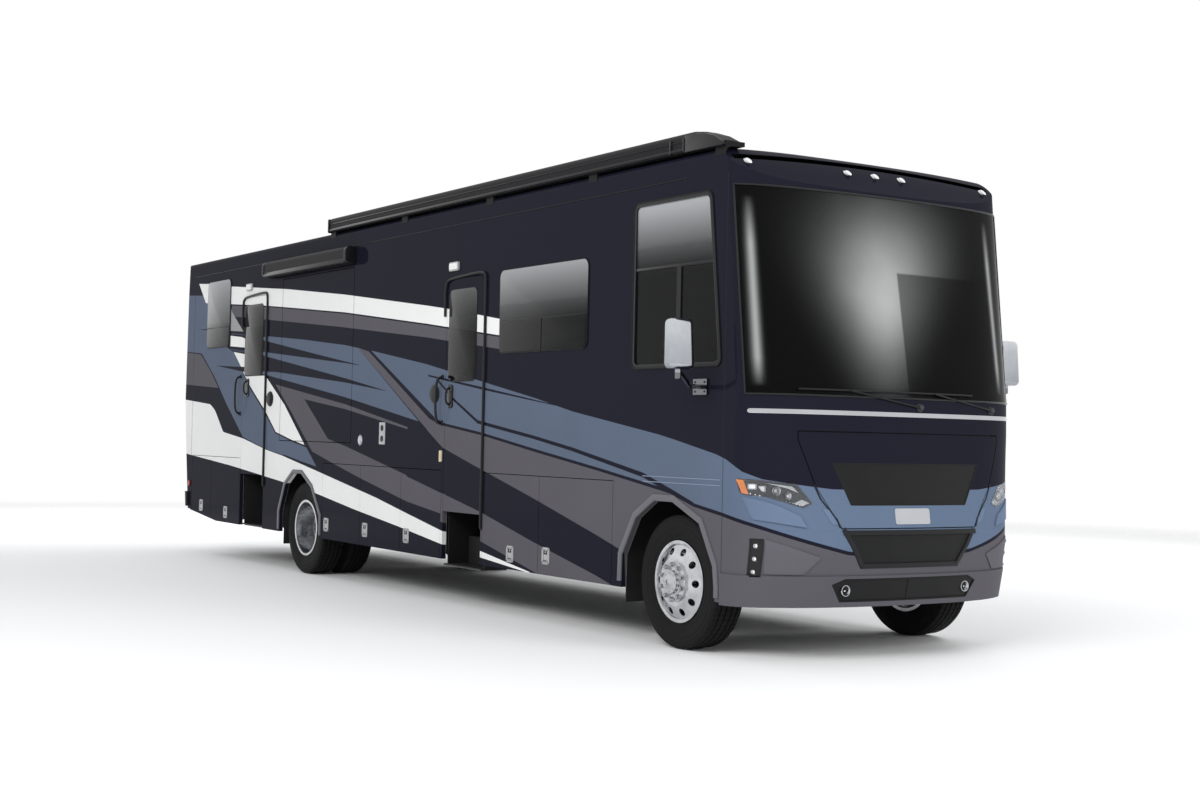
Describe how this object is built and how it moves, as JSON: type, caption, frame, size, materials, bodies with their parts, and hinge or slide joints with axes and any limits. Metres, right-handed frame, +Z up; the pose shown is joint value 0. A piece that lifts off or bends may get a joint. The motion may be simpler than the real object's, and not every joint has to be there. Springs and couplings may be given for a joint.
{
  "type": "motorhome with front engine, two entry doors and two slide-out rooms",
  "caption": "Long motorhome with a swept dark-blue and white paint scheme, roof awning, storage doors, two entry doors and slide-out rooms.",
  "frame": {"origin": "on the ground under the middle of the whole box, half way between the front and the rear end", "axes": "+X forward, +Y to the coach's left, +Z up from the ground"},
  "size_m": [11.9246, 3.405, 3.9399],
  "materials": {
    "coach_paint": "gloss",
    "white_shell": "gloss",
    "black_trim": "satin",
    "dark_glass": "gloss",
    "clear_lens": "gloss",
    "red_lens": "gloss",
    "amber_lens": "gloss",
    "tyre_rubber": "matte",
    "polished_rim": "polished",
    "chassis_black": "satin",
    "cast_steel": "rough",
    "tank_plastic": "satin",
    "awning_black": "satin",
    "chrome_shell": "polished",
    "seat_cover": "satin",
    "dash_plastic": "satin",
    "rubber_flap": "matte"
  },
  "bodies": {
    "coach": {"chassis_frame": "chassis_black", "front_axle": "cast_steel", "rear_axle": "cast_steel", "engine": "cast_steel", "tanks": "tank_plastic", "storage_bays": "chassis_black", "cabin_floor": "black_trim", "left_wall": "coach_paint", "right_wall": "coach_paint", "roof": "white_shell", "rear_cap": "coach_paint", "front_cap": "coach_paint", "windscreen": "dark_glass", "window_frames": "black_trim", "window_glass": "dark_glass", "front_bumper": "coach_paint", "headlamps": "clear_lens", "marker_lamps": "amber_lens", "tail_lamps": "red_lens", "rear_bumper": "black_trim", "mirrors": "chrome_shell", "wipers": "black_trim", "awnings": "awning_black", "roof_units": "white_shell", "driver_seat": "seat_cover", "passenger_seat": "seat_cover", "dashboard": "dash_plastic", "mud_flaps": "rubber_flap"},
    "left_steer": {"left_knuckle": "cast_steel"},
    "right_steer": {"right_knuckle": "cast_steel"},
    "front_left_wheel": {"front_left_tyre": "tyre_rubber", "front_left_rim": "polished_rim"},
    "front_right_wheel": {"front_right_tyre": "tyre_rubber", "front_right_rim": "polished_rim"},
    "rear_left_wheels": {"rear_left_tyres": "tyre_rubber", "rear_left_rims": "polished_rim"},
    "rear_right_wheels": {"rear_right_tyres": "tyre_rubber", "rear_right_rims": "polished_rim"},
    "hood": {"hood": "coach_paint"},
    "front_door": {"front_door": "coach_paint"},
    "rear_door": {"rear_door": "coach_paint"},
    "right_room": {"right_room": "coach_paint"},
    "left_room": {"left_room": "coach_paint"},
    "steering_wheel": {"steering_wheel": "dash_plastic"},
    "right_bay_door_tail": {"right_bay_door_tail": "coach_paint"},
    "right_bay_door_rear": {"right_bay_door_rear": "coach_paint"},
    "right_bay_door_third": {"right_bay_door_third": "coach_paint"},
    "right_bay_door_fourth": {"right_bay_door_fourth": "coach_paint"},
    "right_bay_door_fifth": {"right_bay_door_fifth": "coach_paint"},
    "right_bay_door_sixth": {"right_bay_door_sixth": "coach_paint"},
    "right_bay_door_front": {"right_bay_door_front": "coach_paint"},
    "left_bay_door_rear": {"left_bay_door_rear": "coach_paint"},
    "left_bay_door_middle": {"left_bay_door_middle": "coach_paint"},
    "left_bay_door_front": {"left_bay_door_front": "coach_paint"}
  },
  "joints": [
    {"name": "left_steering", "type": "hinge", "parent": "coach", "child": "left_steer", "pos_m": [4.815, 0.93, 0.4895], "axis": [0, 0, 1], "range_deg": [-35, 35]},
    {"name": "right_steering", "type": "hinge", "parent": "coach", "child": "right_steer", "pos_m": [4.815, -0.93, 0.4895], "axis": [0, 0, 1], "range_deg": [-35, 35]},
    {"name": "front_left_roll", "type": "hinge", "parent": "left_steer", "child": "front_left_wheel", "pos_m": [4.815, 1.1045, 0.4895], "axis": [0, 1, 0], "continuous": true},
    {"name": "front_right_roll", "type": "hinge", "parent": "right_steer", "child": "front_right_wheel", "pos_m": [4.815, -1.1045, 0.4895], "axis": [0, 1, 0], "continuous": true},
    {"name": "rear_left_roll", "type": "hinge", "parent": "coach", "child": "rear_left_wheels", "pos_m": [-2.049, 0.9395, 0.4895], "axis": [0, 1, 0], "continuous": true},
    {"name": "rear_right_roll", "type": "hinge", "parent": "coach", "child": "rear_right_wheels", "pos_m": [-2.049, -0.9395, 0.4895], "axis": [0, 1, 0], "continuous": true},
    {"name": "hood_hinge", "type": "hinge", "parent": "coach", "child": "hood", "pos_m": [5.915, 0, 1.61], "axis": [0, -1, 0], "range_deg": [0, 60]},
    {"name": "front_door_hinge", "type": "hinge", "parent": "coach", "child": "front_door", "pos_m": [1.929, -1.285, 1.8], "axis": [0, 0, 1], "range_deg": [0, 90]},
    {"name": "rear_door_hinge", "type": "hinge", "parent": "coach", "child": "rear_door", "pos_m": [-3.151, -1.285, 2], "axis": [0, 0, 1], "range_deg": [0, 90]},
    {"name": "right_room_slide", "type": "slide", "parent": "coach", "child": "right_room", "axis": [0, -1, 0], "range_m": [0, 0.55]},
    {"name": "left_room_slide", "type": "slide", "parent": "coach", "child": "left_room", "axis": [0, 1, 0], "range_m": [0, 0.55]},
    {"name": "steering_wheel_turn", "type": "hinge", "parent": "coach", "child": "steering_wheel", "pos_m": [4.955, 0.64, 1.86], "axis": [-0.8192, 0, 0.5736], "range_deg": [-560, 560]},
    {"name": "right_bay_door_tail_hinge", "type": "hinge", "parent": "coach", "child": "right_bay_door_tail", "pos_m": [-5.178, -1.285, 1.192], "axis": [-1, 0, 0], "range_deg": [0, 85]},
    {"name": "right_bay_door_rear_hinge", "type": "hinge", "parent": "coach", "child": "right_bay_door_rear", "pos_m": [-4.36, -1.285, 1.192], "axis": [-1, 0, 0], "range_deg": [0, 85]},
    {"name": "right_bay_door_third_hinge", "type": "hinge", "parent": "coach", "child": "right_bay_door_third", "pos_m": [-1.027, -1.285, 1.192], "axis": [-1, 0, 0], "range_deg": [0, 85]},
    {"name": "right_bay_door_fourth_hinge", "type": "hinge", "parent": "coach", "child": "right_bay_door_fourth", "pos_m": [-0.104, -1.285, 1.192], "axis": [-1, 0, 0], "range_deg": [0, 85]},
    {"name": "right_bay_door_fifth_hinge", "type": "hinge", "parent": "coach", "child": "right_bay_door_fifth", "pos_m": [0.765, -1.285, 1.192], "axis": [-1, 0, 0], "range_deg": [0, 85]},
    {"name": "right_bay_door_sixth_hinge", "type": "hinge", "parent": "coach", "child": "right_bay_door_sixth", "pos_m": [2.4385, -1.285, 1.192], "axis": [-1, 0, 0], "range_deg": [0, 85]},
    {"name": "right_bay_door_front_hinge", "type": "hinge", "parent": "coach", "child": "right_bay_door_front", "pos_m": [3.4665, -1.285, 1.192], "axis": [-1, 0, 0], "range_deg": [0, 85]},
    {"name": "left_bay_door_rear_hinge", "type": "hinge", "parent": "coach", "child": "left_bay_door_rear", "pos_m": [-4.7, 1.285, 1.192], "axis": [1, 0, 0], "range_deg": [0, 85]},
    {"name": "left_bay_door_middle_hinge", "type": "hinge", "parent": "coach", "child": "left_bay_door_middle", "pos_m": [-0.158, 1.285, 1.192], "axis": [1, 0, 0], "range_deg": [0, 85]},
    {"name": "left_bay_door_front_hinge", "type": "hinge", "parent": "coach", "child": "left_bay_door_front", "pos_m": [2.815, 1.285, 1.192], "axis": [1, 0, 0], "range_deg": [0, 85]}
  ],
  "couplings": [
    {"joint": "right_steering", "follows": "left_steering", "ratio": 1}
  ]
}
